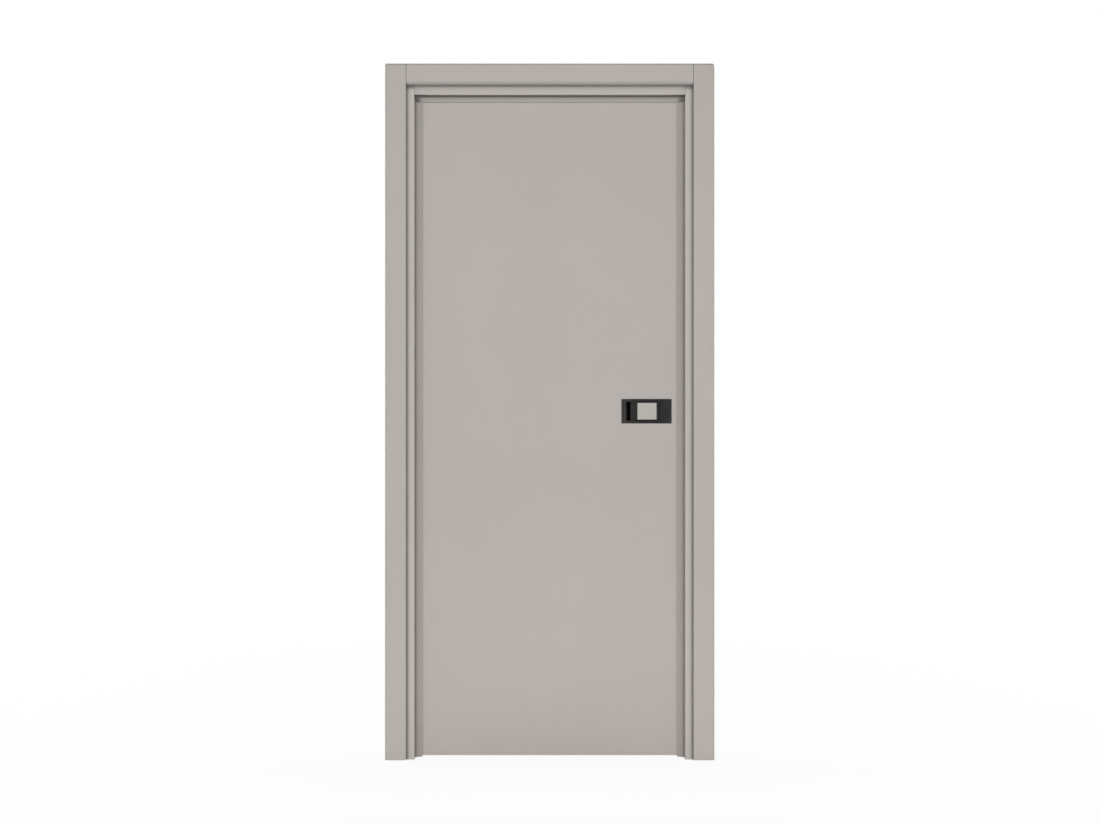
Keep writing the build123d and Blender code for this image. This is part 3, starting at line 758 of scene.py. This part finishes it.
# %% [markdown]
# ## Fitting the screws
#
# Screws have the coat of their plate, a little paler, because it is the same powder on a smoother head. In
# the cross it never catches the light, so there it is painted darker, as painted shade, and made duller. All
# the screws of a plate are one piece that rides with it. Nobody lines up the crosses when a door is hung, so
# each is turned by a random angle, and the seed makes it the same one in every run.

# %% Screw finishes and fitting
def fit_screws(name, body, spots, out, radius):
    piece = screw_heads(name, spots, out, radius, [random.uniform(0, math.pi / 2) for _ in spots])
    piece.data.materials.append(screw_black)
    piece.data.materials.append(recess_shade_black)
    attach(piece, body)


random.seed(11)
screw_black = black_coat(
    "screw_black", linear(44, 44, 43), rough=0.36, edge_light=linear(70, 68, 66), seed=9.0
)
# The floor of each cross is painted darker, as painted shade for the recess.
recess_shade_black = black_coat(
    "recess_shade_black", linear(14, 14, 14), rough=0.7, edge_light=linear(20, 20, 20), seed=9.5
)
print("finishes for the screws:", screw_black.name, recess_shade_black.name)

# %% [markdown]
# ## Screws in the hinge plates
#
# They lie on a staggered line, as in most butt hinges, so that three screws don't split the wood along one
# line of its grain. Their places are worked out from the back face of the door and the box of each plate.

# %% Fit the hinge screws
HINGE_SCREW_RADIUS = 0.0042
SCREW_PITCH = 0.031
SCREW_STAGGER = 0.005
PLATE_DEPTH = 0.030
row_y = leaf_back_y - PLATE_DEPTH / 2
plate_faces = (
    ("frame", "frame", hinge_jamb_high.x, Vector((1, 0, 0))),
    ("door", "leaf", corners("back_skin")[0].x, Vector((-1, 0, 0))),
)
for place in PLACES:
    for part, body, face_x, out in plate_faces:
        centre_z = middle(f"{place}_hinge_{part}_plate").z
        spots = [
            Vector((face_x, row_y + SCREW_STAGGER * (-1) ** n, centre_z + SCREW_PITCH * (n - 1)))
            for n in range(3)
        ]
        fit_screws(f"{place}_hinge_{part}_screws", body, spots, out, HINGE_SCREW_RADIUS)
print("hinge screws:", len(spots) * len(plate_faces) * len(PLACES))

# %% [markdown]
# ## Screws in the forend and the strike plate
#
# The forend is the plate in the edge of the leaf that the latch looks out of. That edge is bevelled, so that
# the leaf clears the jamb as it swings, and the screws lean with it by two in forty. Those in the strike
# plate stand square to the jamb.

# %% Fit the forend and strike screws
LOCK_SCREW_RADIUS = 0.0036
EDGE_SLOPE = 2 / 40
FOREND_SCREW_OFFSET = 0.070
STRIKE_SCREW_OFFSET = 0.038


def pair_of_spots(face_x, centre, offset):
    """One spot below the centre and one above it, on a face at that place along X."""
    return [Vector((face_x, centre.y, centre.z + way * offset)) for way in (-1, 1)]


forend_low, forend_high = corners("lock_forend")
forend_face_x = forend_high.x - EDGE_SLOPE * (forend_high.y - forend_low.y) / 2
forend_spots = pair_of_spots(forend_face_x, middle("lock_forend"), FOREND_SCREW_OFFSET)
strike_spots = pair_of_spots(strike_jamb_face_x, middle("strike_plate"), STRIKE_SCREW_OFFSET)
forend_out = Vector((1, -EDGE_SLOPE, 0))
strike_out = Vector((-1, 0, 0))
fit_screws("lock_forend_screws", "leaf", forend_spots, forend_out, LOCK_SCREW_RADIUS)
fit_screws("strike_plate_screws", "frame", strike_spots, strike_out, LOCK_SCREW_RADIUS)
print("forend face at x", round(forend_face_x, 5), "strike face at x", round(strike_jamb_face_x, 5))

# %% [markdown]
# ## A white that gives no light
#
# The photograph has a plain white studio round the door. A world that bright would flood the door with
# light from all sides and wash its shadows out. The Light Path node tells for what a ray is being followed,
# so a surface can look white to the rays of the camera, and to those it sees mirrored or through glass, and
# be something else for the rays that carry light. The larger of three masks joins them into one.

# %% Rays that see the background
def seen_rays(owner):
    """1 for rays from the camera and for those it sees mirrored or through glass, else 0."""
    ray = add(owner, "ShaderNodeLightPath")
    total = ray.outputs["Is Camera Ray"]
    for kind in ("Is Glossy Ray", "Is Transmission Ray"):
        total = calculate(owner, "MAXIMUM", total, ray.outputs[kind])
    return total


def choose_by(owner, share, lighting, seen, out):
    """Give the output the seen shader by that share, and the lighting one for the rest."""
    choice = add(owner, "ShaderNodeMixShader")
    for source, socket in zip((share, lighting, seen), choice.inputs):
        wire(owner, source, socket)
    wire(owner, choice.outputs[0], out.inputs[0])


print("rays told apart: camera, glossy and transmission from all others")

# %% [markdown]
# ## The world
#
# The world is the white that stands behind the door. To the camera it has a strength of 1, which the
# Standard view transform shows as plain white. To everything else it is a dim even fill, as from the walls
# of a studio, so that no corner of the door goes black.

# %% World
WHITE = (1, 1, 1, 1)
WORLD_FILL = 0.10


def glow(owner, strength):
    background = add(owner, "ShaderNodeBackground")
    background.inputs["Color"].default_value = WHITE
    background.inputs["Strength"].default_value = strength
    return background.outputs[0]


world = bpy.data.worlds.new("white_studio")
bpy.context.scene.world = world
empty_graph(world)
world_out = add(world, "ShaderNodeOutputWorld")
choose_by(world, seen_rays(world), glow(world, WORLD_FILL), glow(world, 1.0), world_out)
print("world:", world.name, "with a fill of", WORLD_FILL)

# %% [markdown]
# ## The floor
#
# The floor does the same: what the camera sees is mostly its own white, with a share of true diffuse near
# the door. That share keeps the door's shadow, and it fades out within three metres, so that the floor
# runs into the white background with no line, and no curved backdrop is needed. The floor lies half a
# millimetre low, so that no two faces share a place.

# %% Floor
NEAR_WHITE = 0.93
FADE_START = 0.5
FADE_END = 3.0
FLOOR_DROP = 0.0005
FLOOR_CORNERS = [(-40, -40, 0), (41, -40, 0), (41, 40, 0), (-40, 40, 0)]
PAPER_GREY = (0.86, 0.86, 0.86, 1)

floor_mesh = bpy.data.meshes.new("studio_floor")
floor_mesh.from_pydata(FLOOR_CORNERS, [], [(0, 1, 2, 3)])
floor = bpy.data.objects.new("studio_floor", floor_mesh)
floor.location.z = -FLOOR_DROP
floor.visible_shadow = False
bpy.context.scene.collection.objects.link(floor)

paper = bpy.data.materials.new("floor_paper")
empty_graph(paper)
paper_out = add(paper, "ShaderNodeOutputMaterial")
paper_matt = add(paper, "ShaderNodeBsdfDiffuse")
paper_matt.inputs["Color"].default_value = PAPER_GREY
paper_white = add(paper, "ShaderNodeEmission")
paper_white.inputs["Strength"].default_value = 1.0
away = add(paper, "ShaderNodeVectorMath", operation="DISTANCE")
wire(paper, add(paper, "ShaderNodeTexCoord").outputs["Object"], away.inputs[0])
away.inputs[1].default_value = (opening_middle_x, 0, 0)
whiteness = spread(paper, away.outputs["Value"], NEAR_WHITE, 1.0, start=FADE_START, end=FADE_END)
white_share = calculate(paper, "MULTIPLY", seen_rays(paper), whiteness)
choose_by(paper, white_share, paper_matt.outputs[0], paper_white.outputs[0], paper_out)
floor_mesh.materials.append(paper)
print("the floor's shadow fades out", FADE_END, "m from the door")

# %% [markdown]
# ## Lamps
#
# A picture of a real studio could light the scene, but area lamps can each be set by themselves. One wide
# lamp stands in front, well above the camera, and gives the front nearly all its light, so the flat faces
# look even and only the steps of the frame fall into soft shade. A low strip of light lifts its foot. Behind
# the door stand a second wide lamp, one at each side, which also light the edges of the frame, and a small
# one overhead. The leaf and the casings keep their light off the front.

# %% Lamps
def lamp(name, place, aim, size, power):
    """An area lamp that looks at aim, with its width and height in metres and its power in watts."""
    data = bpy.data.lights.new(name, "AREA")
    data.shape = "RECTANGLE"
    data.size, data.size_y = size
    data.energy = power
    data.color = WHITE[:3]
    holder = bpy.data.objects.new(name, data)
    holder.location = place
    holder.rotation_mode = "QUATERNION"
    holder.rotation_quaternion = (Vector(aim) - Vector(place)).to_track_quat("-Z", "Y")
    holder.visible_camera = False
    bpy.context.scene.collection.objects.link(holder)


def on_middle(y, z):
    """A place in the plane that halves the door."""
    return (opening_middle_x, y, z)


door_middle = on_middle(0.0, door_top / 2)
lamp("front_key", on_middle(-5.0, 1.85), aim=on_middle(0.0, 1.85), size=(6.0, 3.5), power=225)
lamp("foot_fill", on_middle(-0.65, 0.12), aim=on_middle(0.0, 0.05), size=(2.2, 0.15), power=1)
lamp("back_key", on_middle(5.0, 1.75), aim=on_middle(0.0, 1.75), size=(6.0, 3.6), power=110)
lamp("left_side", (-4.4, 1.6, 1.8), aim=door_middle, size=(2.0, 2.4), power=150)
lamp("right_side", (5.3, 1.6, 1.8), aim=door_middle, size=(2.0, 2.4), power=150)
lamp("over_back", on_middle(1.5, 5.0), aim=door_middle, size=(1.6, 1.0), power=35)
print("lamps:", {data.name: round(data.energy) for data in bpy.data.lights})

# %% [markdown]
# ## Camera
#
# The photograph looks straight at the door from about 4.4 metres, at handle height, with no tilt: the
# uprights are parallel and the floor line is level. So the camera stands square to the casing, and the
# focal length follows from the door's width in the frame.

# %% Camera
IMAGE_WIDTH = 1100
METRES_PER_PIXEL = 0.0030795
SENSOR_WIDTH = 36.0
CAMERA_DISTANCE = 4.391
CAMERA_HEIGHT = 1.0726
CAMERA_ASIDE = 0.0008
focal_pixels = CAMERA_DISTANCE / METRES_PER_PIXEL
camera_data = bpy.data.cameras.new("studio_camera")
camera_data.sensor_width = SENSOR_WIDTH
camera_data.lens = SENSOR_WIDTH * focal_pixels / IMAGE_WIDTH
camera_data.clip_start = 0.05
camera_data.clip_end = 60.0
camera = bpy.data.objects.new("studio_camera", camera_data)
camera.location = (opening_middle_x + CAMERA_ASIDE, front_casing_face - CAMERA_DISTANCE, CAMERA_HEIGHT)
camera.rotation_euler = (math.radians(90), 0, 0)
bpy.context.scene.collection.objects.link(camera)
bpy.context.scene.camera = camera
print("lens in millimetres:", round(camera_data.lens, 2))

# %% [markdown]
# ## Colours
#
# The Standard view transform shows a colour as it is lit, with no film look laid over it.

# %% Finish
bpy.context.scene.view_settings.view_transform = "Standard"
